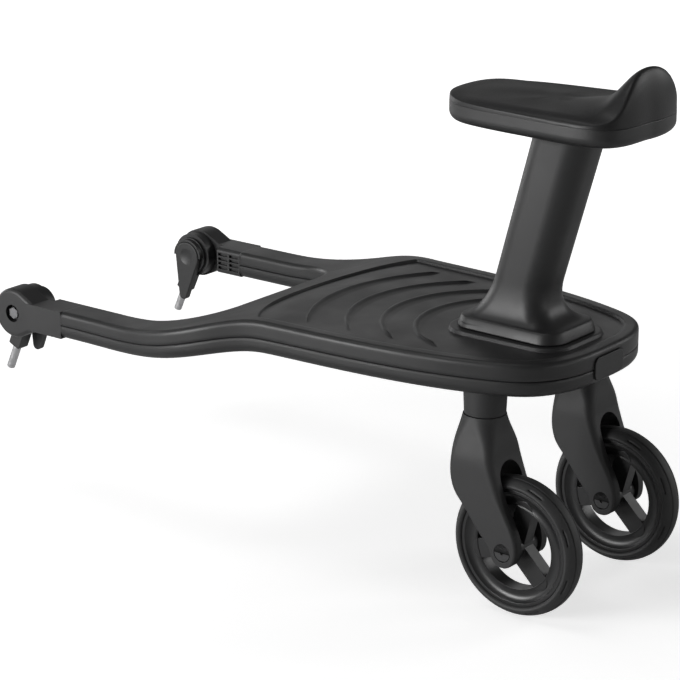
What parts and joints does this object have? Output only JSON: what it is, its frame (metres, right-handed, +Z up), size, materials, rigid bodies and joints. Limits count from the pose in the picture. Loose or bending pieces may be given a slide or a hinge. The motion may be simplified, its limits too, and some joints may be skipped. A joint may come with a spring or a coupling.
{
  "type": "buggy board",
  "caption": "Ride-along board for a pushchair: moulded deck on swivel caster wheels, saddle seat on a post, and arms with clamped coupling pins.",
  "frame": {"origin": "on the ground, under the middle of the whole board", "axes": "+Y forward along the arms, +X to the right, +Z up"},
  "size_m": [0.3058, 0.6468, 0.4807],
  "materials": {
    "board_plastic": "satin, fine moulded grain",
    "seat_plastic": "satin",
    "seat_cover": "soft matt skin",
    "fork_plastic": "matt, glass filled",
    "rim_plastic": "satin",
    "tyre_rubber": "matt",
    "head_plastic": "satin",
    "lever_plastic": "satin",
    "bush_plastic": "smooth",
    "steel": "zinc plated",
    "black_steel": "black oxide"
  },
  "bodies": {
    "board": {"deck_upper_shell": "board_plastic", "deck_lower_shell": "board_plastic", "deck_screws": "steel", "seat_socket": "board_plastic", "latch_spring": "steel", "caster_collar_left": "fork_plastic", "swivel_bush_left": "bush_plastic", "arm_head_left": "head_plastic", "friction_ring_left": "bush_plastic", "clamp_nut_left": "steel", "caster_collar_right": "fork_plastic", "swivel_bush_right": "bush_plastic", "arm_head_right": "head_plastic", "friction_ring_right": "bush_plastic", "clamp_nut_right": "steel"},
    "release": {"release_button": "lever_plastic", "latch_plate": "bush_plastic"},
    "seat": {"seat_post": "seat_plastic", "post_foot": "seat_plastic", "seat_pan": "seat_plastic", "seat_pad": "seat_cover", "seat_screws": "steel"},
    "caster_left": {"kingpin_left": "steel", "kingpin_clip_left": "steel", "caster_fork_left": "fork_plastic", "axle_bolt_left": "black_steel", "axle_nut_left": "black_steel"},
    "wheel_left": {"wheel_tyre_left": "tyre_rubber", "wheel_rim_left": "rim_plastic", "hub_bushes_left": "bush_plastic"},
    "coupling_left": {"pin_holder_left": "head_plastic", "coupling_pin_left": "steel"},
    "lever_left": {"clamp_lever_left": "lever_plastic", "clamp_bolt_left": "steel", "lever_collar_left": "lever_plastic"},
    "caster_right": {"kingpin_right": "steel", "kingpin_clip_right": "steel", "caster_fork_right": "fork_plastic", "axle_bolt_right": "black_steel", "axle_nut_right": "black_steel"},
    "wheel_right": {"wheel_tyre_right": "tyre_rubber", "wheel_rim_right": "rim_plastic", "hub_bushes_right": "bush_plastic"},
    "coupling_right": {"pin_holder_right": "head_plastic", "coupling_pin_right": "steel"},
    "lever_right": {"clamp_lever_right": "lever_plastic", "clamp_bolt_right": "steel", "lever_collar_right": "lever_plastic"}
  },
  "joints": [
    {"name": "seat_lift", "type": "slide", "parent": "board", "child": "seat", "axis": [0, 0, 1], "range_m": [0, 0.08]},
    {"name": "release_press", "type": "slide", "parent": "board", "child": "release", "axis": [0, 1, 0], "range_m": [0, 0.004], "stiffness_N_per_m": 600, "springref_m": -0.002, "deforming": ["latch_spring"]},
    {"name": "swivel_left", "type": "hinge", "parent": "board", "child": "caster_left", "pos_m": [-0.079, -0.2116, 0.18], "axis": [0, 0, 1], "continuous": true},
    {"name": "wheel_spin_left", "type": "hinge", "parent": "caster_left", "child": "wheel_left", "pos_m": [-0.079, -0.2491, 0.0635], "axis": [1, 0, 0], "continuous": true},
    {"name": "pin_tilt_left", "type": "hinge", "parent": "board", "child": "coupling_left", "pos_m": [-0.12253, 0.29041, 0.18695], "axis": [1, 0, 0], "range_deg": [-20, 60]},
    {"name": "lever_turn_left", "type": "hinge", "parent": "board", "child": "lever_left", "pos_m": [-0.12253, 0.29041, 0.18695], "axis": [1, 0, 0], "range_deg": [0, 90]},
    {"name": "swivel_right", "type": "hinge", "parent": "board", "child": "caster_right", "pos_m": [0.079, -0.2116, 0.18], "axis": [0, 0, 1], "continuous": true},
    {"name": "wheel_spin_right", "type": "hinge", "parent": "caster_right", "child": "wheel_right", "pos_m": [0.079, -0.2491, 0.0635], "axis": [1, 0, 0], "continuous": true},
    {"name": "pin_tilt_right", "type": "hinge", "parent": "board", "child": "coupling_right", "pos_m": [0.12253, 0.29041, 0.18695], "axis": [1, 0, 0], "range_deg": [-20, 60]},
    {"name": "lever_turn_right", "type": "hinge", "parent": "board", "child": "lever_right", "pos_m": [0.12253, 0.29041, 0.18695], "axis": [1, 0, 0], "range_deg": [0, 90]}
  ]
}
